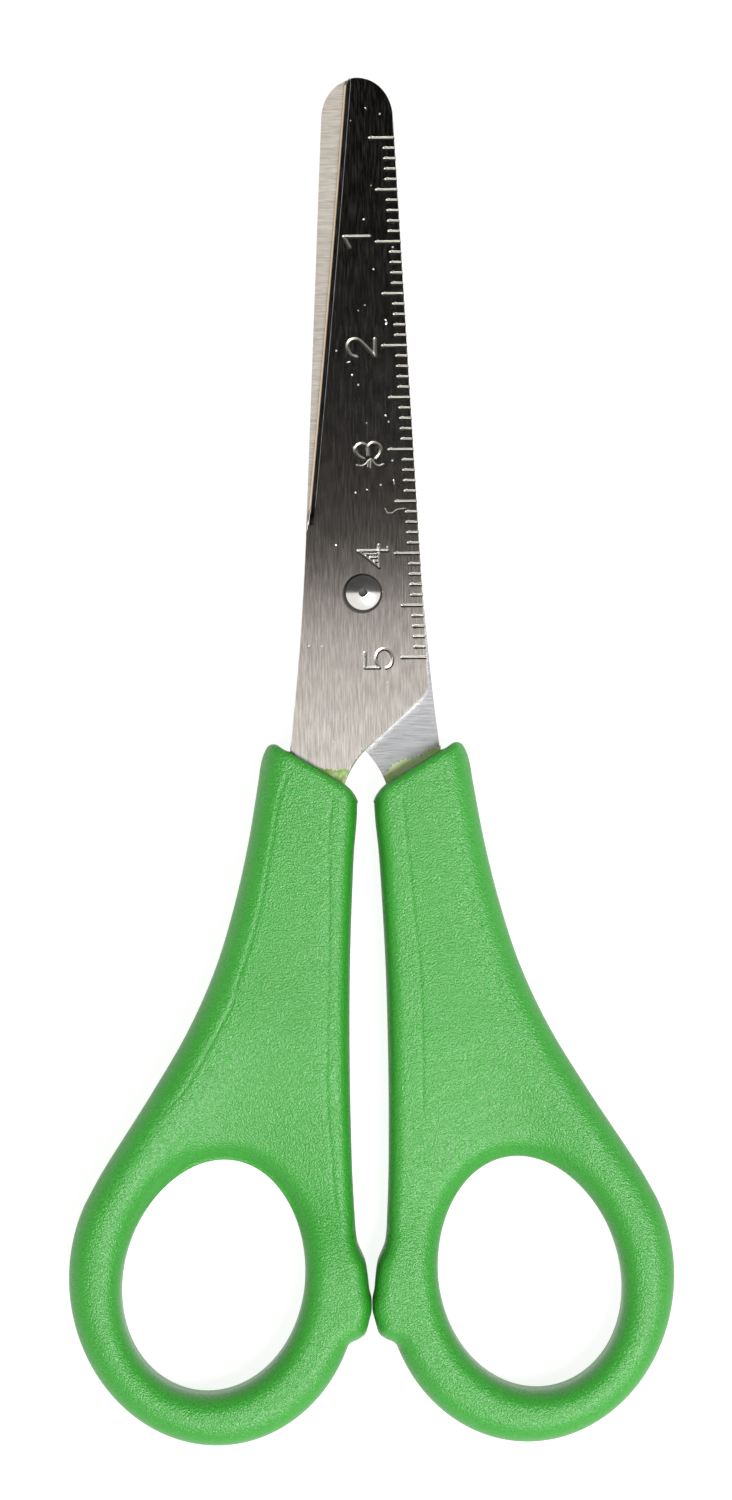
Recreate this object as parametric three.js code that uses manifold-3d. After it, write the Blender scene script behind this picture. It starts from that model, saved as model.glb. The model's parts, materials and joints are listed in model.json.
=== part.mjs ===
// School scissors with straight, blunt-tipped blades, a stamped centimetre ruler and
// green moulded handles with two equal finger loops.
//
// The scissors lie flat and closed. +Y points to the blade tips, +X to the right-hand
// loop and +Z up through the pivot. Both halves are the same half: the rear one is the
// front one turned half a turn about the long axis, and only the front blade carries
// the ruler. Each half is first drawn about the pivot, with the shear plane at z = 0.
// Sizes are in millimetres.

import * as THREE from 'three';
import * as BufferGeometryUtils from 'three/addons/utils/BufferGeometryUtils.js';
import Module from 'manifold-3d';

const wasm = await Module();
wasm.setup();

// ---------------------------------------------------------------- driving dimensions

const handleThickness = 8;
const handleEdgeRound = 2.2;      // rounded sides of the handle bars and loops
const bladeThickness = 1.4;
const bladeClearance = 0.05;      // from each blade's flat face to the shear plane
const mouldClearance = 0.1;       // between the tang and the plastic moulded over it
const stopGap = 0.05;             // from the closed stop to the long axis

const tipHeight = 49.6;           // tip above the pivot
const tipHalfWidth = 3.47;        // the tip is rounded as half an ellipse
const tipRise = 3.9;
const spineAtPivot = 5.72;        // spine's distance from the long axis at the pivot
const spineSlope = 0.049;         // how fast the spine widens towards the handle
const edgeTop = [-1.2, 48.9];     // the cutting edge is a shallow curve from here
const edgeMiddle = [-3.1, 27.1];
const heel = [-5.32, 6.2];        // to here
const grindWidth = 0.62;          // sharpening bevel, seen from the front
const grindLand = 0.2;            // thickness left at the cutting edge

const tangFootRadius = 1.8;       // the tang ends in an arc inside the handle
const tangFootCentre = [-6.7, -39];
const tangShoulder = [-3.3, -22];
const anchorRadius = 1.1;         // hole in the tang that the plastic flows through
const anchorCentre = [-6.1, -31];
const beyond = 1;                 // how far a cutter runs past what it cuts

const shankRadius = 1.5;
const shankClearance = 0.07;      // running fit of the rivet in both blades
const frontHeadRadius = 1.75;
const frontHeadHeight = 0.8;
const rearHeadRadius = 2.4;
const rearHeadHeight = 0.6;
const headGap = 0.03;             // play between each rivet head and its blade
const dimpleRadius = 0.5;
const dimpleDepth = 0.3;

const tickPitch = 1;
const tickCount = 51;             // 0 to 50 mm
const zeroTickHeight = 43.85;     // the zero line above the pivot
const tickLengths = { millimetre: 1.25, five: 2.2, centimetre: 2.55 };
const tickWidth = 0.2;
const engravingDepth = 0.12;
const digitStroke = 0.24;
const digitGap = 0.27;            // from the centimetre line to the foot of its number
const digitDrift = 0.07;          // and a little more for each number after it

// Finger loop: an ellipse outside, and inside it an egg-shaped opening.
const loop = { x: 15.2, y: -66.1, halfWidth: 13.9, halfLength: 15.75, tilt: 0.078 };
const opening = { x: 15.14, y: -65.6, halfWidth: 8.75, halfLength: 11.34, tilt: -0.2, taper: 0.055 };

// ---------------------------------------------------------------- materials

const plastic = new THREE.MeshStandardMaterial({ color: 0x5fb455, roughness: 0.5, metalness: 0 });
const bladeSteel = new THREE.MeshStandardMaterial({ color: 0xb9b4ac, roughness: 0.32, metalness: 1 });
const rivetSteel = new THREE.MeshStandardMaterial({ color: 0xc9c7c4, roughness: 0.15, metalness: 1 });

// ---------------------------------------------------------------- solids

function solid(geometry) {
  const bare = geometry.index ? geometry.toNonIndexed() : geometry.clone();
  bare.deleteAttribute('normal');
  bare.deleteAttribute('uv');
  const merged = BufferGeometryUtils.mergeVertices(bare, 1e-4);
  return new wasm.Manifold(new wasm.Mesh({
    numProp: 3,
    vertProperties: merged.attributes.position.array,
    triVerts: Uint32Array.from(merged.index.array),
  }));
}

function meshOf(name, manifold, material) {
  const { vertProperties, triVerts } = manifold.getMesh();
  const geometry = new THREE.BufferGeometry();
  geometry.setAttribute('position', new THREE.BufferAttribute(vertProperties, 3));
  geometry.setIndex(new THREE.BufferAttribute(triVerts, 1));
  const mesh = new THREE.Mesh(geometry, material);
  mesh.name = name;
  return mesh;
}

function union(solids) {
  return solids.reduce((sum, next) => sum.add(next));
}

// A straight-sided plate between two heights.
function plate(shape, bottom, top) {
  const geometry = new THREE.ExtrudeGeometry(shape, { depth: top - bottom, bevelEnabled: false });
  geometry.translate(0, 0, bottom);
  return solid(geometry);
}

// A plate centred on the shear plane, rounded inwards from the shape's outline.
function roundedPlate(shape, thickness, edgeRound, segments) {
  const geometry = new THREE.ExtrudeGeometry(shape, {
    depth: thickness - 2 * edgeRound,
    bevelThickness: edgeRound,
    bevelSize: edgeRound,
    bevelOffset: -edgeRound,
    bevelSegments: segments,
  });
  geometry.translate(0, 0, edgeRound - thickness / 2);
  return solid(geometry);
}

// A round post along z.
function post(x, y, radius, bottom, top) {
  const geometry = new THREE.CylinderGeometry(radius, radius, top - bottom, 48);
  geometry.rotateX(Math.PI / 2);
  geometry.translate(x, y, (bottom + top) / 2);
  return solid(geometry);
}

// Outlines are written with their distance from the long axis, and lie on its -x side.
function onLeft(points) {
  return points.map(([distance, y]) => new THREE.Vector2(-distance, y));
}

function splineOnLeft(points, divisions) {
  return new THREE.SplineCurve(onLeft(points)).getPoints(divisions);
}

// A point of a tilted oval, whose width may shrink from its foot to its top.
function ovalPoint(oval, angle) {
  const across = oval.halfWidth * (1 - (oval.taper ?? 0) * Math.sin(angle)) * Math.cos(angle);
  const along = oval.halfLength * Math.sin(angle);
  const distance = oval.x + across * Math.cos(oval.tilt) + along * Math.sin(oval.tilt);
  const y = oval.y - across * Math.sin(oval.tilt) + along * Math.cos(oval.tilt);
  return new THREE.Vector2(-distance, y);
}

function ovalArc(oval, from, to, steps) {
  return Array.from({ length: steps + 1 }, (_, i) => ovalPoint(oval, from + (to - from) * i / steps));
}

// ---------------------------------------------------------------- blade

const bladeBottom = bladeClearance;
const bladeTop = bladeClearance + bladeThickness;

function spineX(y) {
  return spineAtPivot - spineSlope * y;
}

// The tang's foot, shared with the plastic's cavity, which is a little wider.
function tangFoot(spread) {
  const radius = tangFootRadius + spread;
  return new THREE.EllipseCurve(...tangFootCentre, radius, radius, Math.PI, 2 * Math.PI).getPoints(10);
}

function quadratic(from, control, to) {
  const [start, middle, end] = [from, control, to].map((point) => new THREE.Vector2(...point));
  return new THREE.QuadraticBezierCurve(start, middle, end);
}

function bladeShape() {
  const tipFoot = tipHeight - tipRise;
  const tip = new THREE.EllipseCurve(0, tipFoot, tipHalfWidth, tipRise, 0, 0.57 * Math.PI);
  const cuttingEdge = quadratic(edgeTop, edgeMiddle, heel);
  const outerEdge = quadratic([-5.44, 5.9], [-5.95, -4.5], [-7.2, -15]);
  const corner = quadratic([spineX(-8.7), -8.7], [spineX(-9.5), -9.5], [5.75, -10]);
  const crotch = quadratic([0.35, -14.85], [-1.2, -16.3], [-1.95, -18.3]);
  return new THREE.Shape([
    ...corner.getPoints(4).reverse(),
    ...tip.getPoints(20),
    ...cuttingEdge.getPoints(12),
    ...outerEdge.getPoints(6),
    ...tangFoot(0),
    new THREE.Vector2(...tangShoulder),
    ...crotch.getPoints(5).reverse(),
  ]);
}

// The sharpening bevel: a block laid along the cutting edge and tipped over it.
function grinding() {
  const reach = 8;
  const length = 60;
  const onChord = -3.17;
  const block = new THREE.BoxGeometry(reach, length, reach);
  block.translate(-reach / 2, 0, 0);
  block.rotateY(Math.atan2(grindWidth, bladeThickness - grindLand));
  block.translate(0, 0, bladeBottom + grindLand);
  block.rotateZ(Math.atan2(heel[0] - edgeTop[0], edgeTop[1] - heel[1]));
  block.translate(onChord, edgeMiddle[1], 0);
  const belowHeel = new THREE.BoxGeometry(4 * reach, length, 4 * reach);
  belowHeel.translate(heel[0], heel[1] - length / 2, 0);
  return solid(block).subtract(solid(belowHeel));
}

// ---------------------------------------------------------------- ruler

function tickLength(index) {
  if (index % 10 === 0) return tickLengths.centimetre;
  return index % 5 === 0 ? tickLengths.five : tickLengths.millimetre;
}

function tickGroove(index) {
  const overrun = 0.3;
  const y = zeroTickHeight - index * tickPitch;
  const length = tickLength(index) + overrun;
  const groove = new THREE.BoxGeometry(length, tickWidth, 2 * engravingDepth);
  groove.translate(spineX(y) + overrun - length / 2, y, bladeTop);
  return solid(groove);
}

// Each number is drawn as pen strokes. The first value of a point runs along the
// reading direction from the number's middle, the second up from its foot.
const digitStrokes = {
  1: [[[0.45, 0.1], [0.45, 2.6]], [[0.45, 2.6], [-0.6, 2.05]]],
  2: [
    [[-1.05, 1.9], [-0.8, 2.5], [-0.1, 2.8], [0.5, 2.6], [0.7, 2.05], [0.4, 1.45], [-1, 0.15]],
    [[-1, 0.15], [0.7, 0.15]],
  ],
  3: [
    [[-0.95, 2], [-0.4, 2.75], [0.2, 2.8], [0.75, 2.3], [0.5, 1.7], [-0.3, 1.45]],
    [[-0.3, 1.45], [0.7, 1.1], [0.65, 0.45], [0.1, 0.1], [-0.65, 0.25], [-1, 0.8]],
  ],
  4: [[[0.3, 0], [0.3, 2.85]], [[0.3, 2.85], [-1.3, 0.85]], [[-1.3, 0.85], [0.85, 0.85]]],
  5: [
    [[0.5, 2.75], [-0.95, 2.75]],
    [[-0.95, 2.75], [-0.95, 1.35]],
    [[-0.9, 1.4], [-0.25, 1.7], [0.5, 1.55], [0.85, 1], [0.65, 0.4], [0, 0.1], [-0.7, 0.25], [-1, 0.7]],
  ],
};

// Numbers stand left of their line, with their feet towards the spine.
function digitGrooves(number) {
  const y = zeroTickHeight - 10 * number * tickPitch;
  const footX = spineX(y) - tickLengths.centimetre - digitGap - digitDrift * number;
  const half = digitStroke / 2;
  const section = new THREE.Shape([
    new THREE.Vector2(-engravingDepth, -half),
    new THREE.Vector2(engravingDepth, -half),
    new THREE.Vector2(engravingDepth, half),
    new THREE.Vector2(-engravingDepth, half),
  ]);
  const grooves = digitStrokes[number].map((stroke) => {
    const points = stroke.map(([along, up]) => new THREE.Vector3(footX - up, y + along, bladeTop));
    const steps = points.length === 2 ? 1 : 2 * points.length;
    const path = points.length === 2 ? new THREE.LineCurve3(...points) : new THREE.CatmullRomCurve3(points);
    return solid(new THREE.ExtrudeGeometry(section, { extrudePath: path, steps, bevelEnabled: false }));
  });
  return union(grooves);
}

function ruler() {
  const ticks = Array.from({ length: tickCount }, (_, index) => tickGroove(index));
  const numbers = [1, 2, 3, 4, 5].map(digitGrooves);
  return union([...ticks, ...numbers]);
}

function bladeSolid() {
  const holes = union([
    post(0, 0, shankRadius + shankClearance, -beyond, bladeTop + beyond),
    post(...anchorCentre, anchorRadius, -beyond, bladeTop + beyond),
  ]);
  return plate(bladeShape(), bladeBottom, bladeTop).subtract(grinding()).subtract(holes);
}

// ---------------------------------------------------------------- handle

// The bar and loop run on past the collar, which is cut to shape afterwards.
function handleShape() {
  const outer = [[9.5, -8], [9.7, -14], [10.2, -18], [11.36, -24], [12.78, -30],
    [14.67, -36], [17.41, -42], [21, -48], [24.9, -54]];
  const inner = [[1.38, -60.5], [1.7, -54], [1.85, -46], [1.71, -36], [1.25, -26], [0.8, -20], [0.7, -8]];
  return new THREE.Shape([
    ...splineOnLeft(outer, 24),
    ...ovalArc(loop, 0.58, -Math.PI, 44),
    ...splineOnLeft(inner, 14),
  ]);
}

// The finger opening, which flares out at both faces to round the loop's inner edges.
function fingerOpening() {
  const shape = new THREE.Shape(ovalArc(opening, 0, 2 * Math.PI, 48).slice(1));
  const geometry = new THREE.ExtrudeGeometry(shape, {
    depth: handleThickness - 2 * handleEdgeRound,
    bevelThickness: handleEdgeRound,
    bevelSize: -handleEdgeRound,
    bevelOffset: handleEdgeRound,
    bevelSegments: 3,
  });
  geometry.translate(0, 0, handleEdgeRound - handleThickness / 2);
  return solid(geometry);
}

// What is cut away above the collar: a slope beside the blade, and a lip outside it.
function aboveCollar() {
  const slope = [[-3, -21], [0.75, -20.1], [0.95, -19.6], [1.4, -18.95], [2, -18.4]];
  const lip = [[7.3, -15.2], [7.75, -15.05], [8.2, -14.75], [8.6, -14.5], [9.05, -14.5],
    [9.4, -14.75], [9.7, -15.3], [9.95, -16.2], [10.3, -18]];
  const shape = new THREE.Shape([
    ...onLeft(slope),
    ...splineOnLeft(lip, 16),
    ...onLeft([[14, -18], [14, 0], [-3, 0]]),
  ]);
  return plate(shape, -handleThickness, handleThickness);
}

// The bump inside the loop that meets its twin when the scissors close.
function stopBoss() {
  const bump = [[1.35, -61.6], [1.05, -63.2], [0.5, -64.4], [0.3, -66.4], [stopGap, -68.4],
    [0.25, -70.2], [0.9, -71.6], [2, -72.3]];
  const shape = new THREE.Shape([...splineOnLeft(bump, 16), ...onLeft([[5, -73.4], [5, -61]])]);
  return roundedPlate(shape, handleThickness - 1, 1.2, 3);
}

// The space that the tang fills, around the plug of plastic in its anchor hole.
function tangCavity() {
  const shape = new THREE.Shape([
    ...onLeft([[6.9, -8], [7.1 + mouldClearance, -14], [7.22 + mouldClearance, -15]]),
    ...tangFoot(mouldClearance),
    new THREE.Vector2(tangShoulder[0] + mouldClearance, tangShoulder[1]),
    ...onLeft([[1.93 - mouldClearance, -18.3], [0.4, -15], [0.4, -8]]),
  ]);
  const cavity = plate(shape, bladeBottom - mouldClearance, bladeTop + mouldClearance);
  const plug = post(...anchorCentre, anchorRadius - mouldClearance, -beyond, bladeTop + beyond);
  return cavity.subtract(plug);
}

function handleSolid() {
  const body = roundedPlate(handleShape(), handleThickness, handleEdgeRound, 3).subtract(fingerOpening());
  return body.add(stopBoss()).subtract(aboveCollar()).subtract(tangCavity());
}

// ---------------------------------------------------------------- rivet

// One turned piece: a domed front head with a dimple, the shank and a flatter rear head.
function rivetSolid() {
  const front = bladeTop + headGap;
  const rear = -front;
  const dome = (radius, height, from, to, steps) => {
    const arc = [];
    for (let i = 0; i <= steps; i += 1) {
      const angle = from + (to - from) * i / steps;
      arc.push(new THREE.Vector2(radius * Math.cos(angle), height * Math.sin(angle)));
    }
    return arc;
  };
  const dimpleAngle = Math.acos(dimpleRadius / frontHeadRadius);
  const frontDome = dome(frontHeadRadius, frontHeadHeight, 0, dimpleAngle, 7);
  const rearDome = dome(rearHeadRadius, rearHeadHeight, -Math.PI / 2, 0, 7);
  const rim = frontHeadHeight * Math.sin(dimpleAngle);
  const profile = [
    ...rearDome.map((point) => point.setY(point.y + rear)),
    new THREE.Vector2(shankRadius, rear),
    new THREE.Vector2(shankRadius, front),
    ...frontDome.map((point) => point.setY(point.y + front)),
    new THREE.Vector2(dimpleRadius * 0.6, front + rim - dimpleDepth * 0.8),
    new THREE.Vector2(0, front + rim - dimpleDepth),
  ];
  profile[0].setX(0);
  const geometry = new THREE.LatheGeometry(profile, 48);
  geometry.rotateX(Math.PI / 2);
  return solid(geometry);
}

// ---------------------------------------------------------------- assembly

const frontHalf = new THREE.Group();
frontHalf.add(meshOf('front_blade', bladeSolid().subtract(ruler()), bladeSteel));
frontHalf.add(meshOf('front_handle', handleSolid(), plastic));
frontHalf.add(meshOf('pivot_rivet', rivetSolid(), rivetSteel));

const rearHalf = new THREE.Group();
rearHalf.add(meshOf('rear_blade', bladeSolid(), bladeSteel));
rearHalf.add(meshOf('rear_handle', handleSolid(), plastic));
rearHalf.rotation.y = Math.PI;

// The origin is under the middle of the whole object, on the surface it lies on.
const scissors = new THREE.Group();
scissors.add(frontHalf, rearHalf);
const box = new THREE.Box3().setFromObject(scissors);
const middle = box.getCenter(new THREE.Vector3());
scissors.position.set(-middle.x, -middle.y, -box.min.z);
scissors.updateMatrixWorld(true);

export default scissors;
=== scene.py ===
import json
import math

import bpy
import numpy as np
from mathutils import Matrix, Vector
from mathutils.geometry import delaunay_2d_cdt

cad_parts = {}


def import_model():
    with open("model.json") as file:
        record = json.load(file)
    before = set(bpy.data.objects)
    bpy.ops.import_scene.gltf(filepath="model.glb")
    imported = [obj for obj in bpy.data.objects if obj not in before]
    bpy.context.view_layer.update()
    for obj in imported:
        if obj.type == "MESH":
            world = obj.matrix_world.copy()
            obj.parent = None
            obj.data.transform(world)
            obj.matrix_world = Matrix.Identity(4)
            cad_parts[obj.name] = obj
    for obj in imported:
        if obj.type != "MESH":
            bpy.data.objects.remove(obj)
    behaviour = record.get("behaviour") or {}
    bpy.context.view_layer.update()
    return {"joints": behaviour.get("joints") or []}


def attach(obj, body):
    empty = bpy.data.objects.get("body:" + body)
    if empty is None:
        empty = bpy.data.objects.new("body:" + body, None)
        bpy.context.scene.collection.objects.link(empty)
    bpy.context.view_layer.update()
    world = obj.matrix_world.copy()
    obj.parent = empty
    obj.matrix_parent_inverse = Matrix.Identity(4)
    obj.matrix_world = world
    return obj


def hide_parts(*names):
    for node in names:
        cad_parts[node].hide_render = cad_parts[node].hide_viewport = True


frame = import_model()

# Green school scissors with a stamped centimetre ruler, lying closed on a pale table.
#
# Every CAD part is replaced by a finer mesh of the same size. A half of the scissors is
# drawn in millimetres about the pivot, with z = 0 where the two blades meet, and with its
# handle on the -x side. The rear half is the same half turned over the long axis.

MM = 0.001
PIVOT = Vector(frame["joints"][0]["pos_m"])

# ---------------------------------------------------------------- dimensions, in millimetres

BLADE_CLEARANCE = 0.05            # from each blade's flat face to the shear plane
BLADE_THICKNESS = 1.4
BLADE_TOP = BLADE_CLEARANCE + BLADE_THICKNESS
EDGE_BREAK = 0.06                 # small chamfer that tumbling leaves on the blade's edges
TIP_HEIGHT = 49.6
TIP_HALF_WIDTH = 3.47
TIP_RISE = 3.9
# Sharpening bevel: distances in from the cutting edge, and the drops below the flat there.
GRIND_ROWS = (0, 0.14, 0.2, 0.58, 0.62)
GRIND_DROPS = (1.25, 1.1, 0.18, 0.025, 0)
HEEL_HEIGHT = 6.2                 # where the cutting edge ends, above the pivot
HEEL_FADE = 2.5                   # over which the bevel narrows towards it
EDGE_STEP = 0.4                   # from point to point along the cutting edge
SHEARED_EDGE = 0.16               # rounding on the diagonal end of the blade

TICK_COUNT = 51
ZERO_TICK_HEIGHT = 43.7           # the ruler's 0 is near the tip, and its 5 past the pivot
TICK_LENGTH = {"millimetre": 1.25, "five": 2.2, "centimetre": 2.55}
TICK_HALF_WIDTH = 0.17
TICK_DEPTH = 0.052
TICK_RUN_OUT = 0.4                # how far the lines run on past the blade's back
DIGIT_HALF_WIDTH = 0.18
DIGIT_GAP = 0.27                  # from a centimetre line to the foot of its number,
DIGIT_DRIFT = 0.07                # which grows by this much with each number
SEAT_CENTRE = (-0.1, -0.05)       # mark that the rivet head pressed into the blade
SEAT_RADIUS = 1.74
SEAT_HALF_WIDTH = 0.22
SEAT_DEPTH = 0.1
# A faint scratch, and small dents, on the outer face of the front blade.
SCRATCH = [(2.2, 8.05), (2.4, 7.6), (2.9, 7.6), (3.35, 7.95), (4.2, 8.05)]
SCRATCH_DEPTH = 0.0025
DENTS = [[(3.04, 10.8), (3.1, 10.4)], [(0.5, 9.9), (0.55, 9.82)], [(2.37, 17), (2.42, 16.93)],
         [(-0.58, 9.62), (-0.54, 9.55)], [(-2.54, 4.6), (-2.5, 4.52)], [(0.8, 46.6), (0.85, 46.5)],
         [(0.53, 35.9), (0.56, 35.82)], [(1.39, 31.1), (1.42, 31)], [(-1.25, 22.15), (-1, 22.2)],
         [(-0.8, 20.95), (-0.78, 20.85)], [(2.5, 26.2), (2.62, 25.95), (2.5, 25.75)],
         [(-5.28, -5.1), (-5.22, -5.25)]]
DENT_DEPTH = 0.012
SCRATCH_HALF_WIDTH = 0.055        # the dents are as narrow

SHANK_RADIUS = 1.5
SHANK_CLEARANCE = 0.07
FRONT_HEAD_RADIUS = 1.66
FRONT_HEAD_HEIGHT = 0.8
FRONT_HEAD_SKIRT = 0.4            # the upright part of that height
REAR_HEAD_RADIUS = 2.4
REAR_HEAD_HEIGHT = 0.6
HEAD_GAP = 0.03                   # from a blade's face to the head
DIMPLE_RADIUS = 0.43
DIMPLE_DEPTH = 0.12

# The tang, inside the handle: its round foot, its inner corner, and its anchor hole.
TANG_FOOT = (-6.7, -39)
TANG_RADIUS = 1.8
TANG_INNER = (-3.3, -22)
ANCHOR_CENTRE = (-6.1, -31)
ANCHOR_RADIUS = 1.1

HANDLE_HALF = 4                   # half of the handle's thickness
SIDE_HALF = 1.6                   # half of the height of its upright side
BAR_ROUND = 2.8                   # how far the rounding reaches in from the bar's outer side,
LOOP_ROUND = 2.6                  # from the loop's outer side,
INNER_ROUND = 1.5                 # from the side that meets the other handle,
OPENING_ROUND = 2.3               # from the finger opening
COLLAR_ROUND = 0.85               # and from the collar
DISH_DEPTHS = (1.4, 0.75)         # both faces sink a little towards the finger opening
DISH_REACH = 15
CROWN = 0.016                     # and are slightly convex across
LINE_HALF_WIDTH = 0.33
LINE_DEPTH = 0.055
LINE_FADE = 3                     # over which a framing line fades at its lower end
FILM_THICKNESS = 0.09
FILM_RAGGEDNESS = 0.07            # how far its crest strays
LOOP = dict(x=15.2, y=-66.1, half_width=13.9, half_length=15.75, tilt=0.078, taper=0)
OPENING = dict(x=15.14, y=-65.6, half_width=8.75, half_length=11.34, tilt=-0.2, taper=0.055)


# ---------------------------------------------------------------- lines

def on_left(points):
    """Points written as (distance from the long axis, y) lie on its -x side."""
    return np.array([(-out, y) for out, y in points], float)


def spaced(points, step):
    """The same polyline with points about a step apart."""
    points = np.asarray(points, float)
    lengths = np.linalg.norm(np.diff(points, axis=0), axis=1)
    along = np.concatenate([[0], np.cumsum(lengths)])
    count = max(1, round(along[-1] / step))
    places = np.linspace(0, along[-1], count + 1)
    return np.column_stack([np.interp(places, along, points[:, i]) for i in (0, 1)])


def smooth(points, step):
    """A Catmull-Rom curve through the points."""
    padded = [points[0], *points, points[-1]]
    t = np.linspace(0, 1, 24, endpoint=False)[:, None]
    parts = []
    for a, b, c, d in zip(padded, padded[1:], padded[2:], padded[3:]):
        a, b, c, d = (np.asarray(p, float) for p in (a, b, c, d))
        parts.append(0.5 * (2 * b + (c - a) * t + (2 * a - 5 * b + 4 * c - d) * t ** 2
                            + (3 * b - a - 3 * c + d) * t ** 3))
    return spaced(np.vstack([*parts, points[-1:]]), step)


def bend(start, control, end, step):
    """A quadratic curve."""
    t = np.linspace(0, 1, 60)[:, None]
    start, control, end = (np.asarray(p, float) for p in (start, control, end))
    return spaced((1 - t) ** 2 * start + 2 * t * (1 - t) * control + t ** 2 * end, step)


def oval(x, y, half_width, half_length, tilt, taper, start, end, step):
    """An arc of a tilted oval, whose width may shrink towards its top."""
    angle = np.linspace(start, end, 200)
    across = half_width * (1 - taper * np.sin(angle)) * np.cos(angle)
    along = half_length * np.sin(angle)
    out = x + across * math.cos(tilt) + along * math.sin(tilt)
    height = y - across * math.sin(tilt) + along * math.cos(tilt)
    return spaced(np.column_stack([-out, height]), step)


def circle(centre, radius, count):
    angle = np.linspace(0, 2 * math.pi, count, endpoint=False)
    return np.column_stack([centre[0] + radius * np.cos(angle), centre[1] + radius * np.sin(angle)])


def without_repeats(line):
    """The same closed or open line without points that repeat the one before."""
    return line[np.linalg.norm(line - np.roll(line, 1, axis=0), axis=1) > 0.01]


def chain(*parts):
    """One closed loop from parts that follow each other."""
    return without_repeats(np.vstack(parts))


BATCH = 2000                      # points measured at a time, which bounds the memory


def distance(points, line, closed=False):
    """Distance from each point to a polyline."""
    start = line if closed else line[:-1]
    run = (np.roll(line, -1, axis=0) if closed else line[1:]) - start
    result = np.empty(len(points))
    for first in range(0, len(points), BATCH):
        from_start = points[first:first + BATCH, None] - start
        share = np.clip((from_start * run).sum(2) / np.maximum((run * run).sum(1), 1e-12), 0, 1)
        gap = from_start - share[..., None] * run
        result[first:first + BATCH] = np.sqrt((gap * gap).sum(2).min(1))
    return result


def inside(points, loops):
    """Whether each point lies within the loops, counting holes."""
    crossings = np.zeros(len(points), int)
    for loop in loops:
        for a, b in zip(loop, np.roll(loop, -1, axis=0)):
            if a[1] != b[1]:
                spans = (a[1] > points[:, 1]) != (b[1] > points[:, 1])
                x = a[0] + (points[:, 1] - a[1]) * (b[0] - a[0]) / (b[1] - a[1])
                crossings += spans & (points[:, 0] < x)
    return crossings % 2 == 1


def left_normals(line, closed):
    ahead = np.roll(line, -1, axis=0) - np.roll(line, 1, axis=0)
    if not closed:
        ahead[0], ahead[-1] = line[1] - line[0], line[-1] - line[-2]
    ahead /= np.linalg.norm(ahead, axis=1)[:, None]
    return np.column_stack([-ahead[:, 1], ahead[:, 0]])


def beside(line, offsets, closed=False):
    """Copies of a line moved to its left by each offset."""
    normals = left_normals(line, closed)
    return np.vstack([line + normals * offset for offset in offsets])


def rings(loops, depths):
    """Points at these depths inside closed loops, which have the material on their left."""
    found = []
    for loop in loops:
        for depth in depths:
            ring = beside(loop, [depth], closed=True)
            gaps = np.min([distance(ring, other, closed=True) for other in loops], axis=0)
            found.append(ring[gaps > 0.95 * depth])
    return np.vstack(found)


def grid(loops, step, margin):
    """Staggered points that fill the loops, and keep a margin from them."""
    low, high = loops[0].min(0), loops[0].max(0)
    rows = []
    for i, y in enumerate(np.arange(low[1], high[1], step * 0.87)):
        x = np.arange(low[0] + (i % 2) * step / 2, high[0], step)
        rows.append(np.column_stack([x, np.full(len(x), y)]))
    points = np.vstack(rows)
    points = points[inside(points, loops)]
    gaps = np.min([distance(points, loop, closed=True) for loop in loops], axis=0)
    return points[gaps > margin]


def thinned(points, spacing):
    """One point from each cell of a fine grid."""
    cells = np.round(points / spacing).astype(int)
    return points[np.sort(np.unique(cells, axis=0, return_index=True)[1])]


# ---------------------------------------------------------------- meshes

def triangulate(loops, inner):
    """Triangles over the inside of the loops, whose corners are the loops and inner points."""
    points = np.vstack([*loops, inner])
    edges, first = [], 0
    for loop in loops:
        count = len(loop)
        edges += [(first + i, first + (i + 1) % count) for i in range(count)]
        first += count
    result = delaunay_2d_cdt([Vector(p) for p in points], edges, [], 1, 1e-6)
    flat = np.array([tuple(v) for v in result[0]])
    triangles = np.array([tuple(f) for f in result[2]])
    triangles = triangles[inside(flat[triangles].mean(1), loops)]
    a, b, c = (flat[triangles[:, i]] for i in range(3))
    turn = (b - a)[:, 0] * (c - a)[:, 1] - (b - a)[:, 1] * (c - a)[:, 0]
    triangles[turn < 0] = triangles[turn < 0][:, ::-1]
    return flat, triangles[np.abs(turn) > 1e-9]


def slab(loops, inner, top, bottom):
    """A closed body between two height functions of the plane's points."""
    flat, triangles = triangulate(loops, inner)
    count = len(flat)
    corners = np.vstack([np.column_stack([flat, top(flat)]), np.column_stack([flat, bottom(flat)])])
    sides = [edge for a, b, c in triangles for edge in ((a, b), (b, c), (c, a))]
    used = set(sides)
    rim = [edge for edge in sides if (edge[1], edge[0]) not in used]
    faces = [tuple(t) for t in triangles]
    faces += [tuple(count + i for i in t[::-1]) for t in triangles]
    faces += [(b, a, count + a, count + b) for a, b in rim]
    return corners, faces


def turned(profile, foot, head, steps):
    """A closed body of revolution: (radius, z) rows between a lowest and a highest point."""
    angle = np.linspace(0, 2 * math.pi, steps, endpoint=False)
    rows = [np.column_stack([r * np.cos(angle), r * np.sin(angle), np.full(steps, z)])
            for r, z in profile]
    corners = np.vstack([*rows, [(0, 0, foot)], [(0, 0, head)]])
    faces, last = [], (len(profile) - 1) * steps
    for i in range(steps):
        j = (i + 1) % steps
        faces += [(row + i, row + j, row + steps + j, row + steps + i) for row in range(0, last, steps)]
        faces += [(len(corners) - 2, j, i), (len(corners) - 1, last + i, last + j)]
    return corners, faces


HALF_SIGNS = {"front": (1, 1, 1), "rear": (-1, 1, -1)}


def half_points(corners, half):
    """Millimetres about the pivot, for either half, as metres in the shared frame."""
    return corners * HALF_SIGNS[half] * MM + np.array(PIVOT)


def half_points_back(points, half):
    """The same the other way."""
    return (points - np.array(PIVOT)) / MM * HALF_SIGNS[half]


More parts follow.
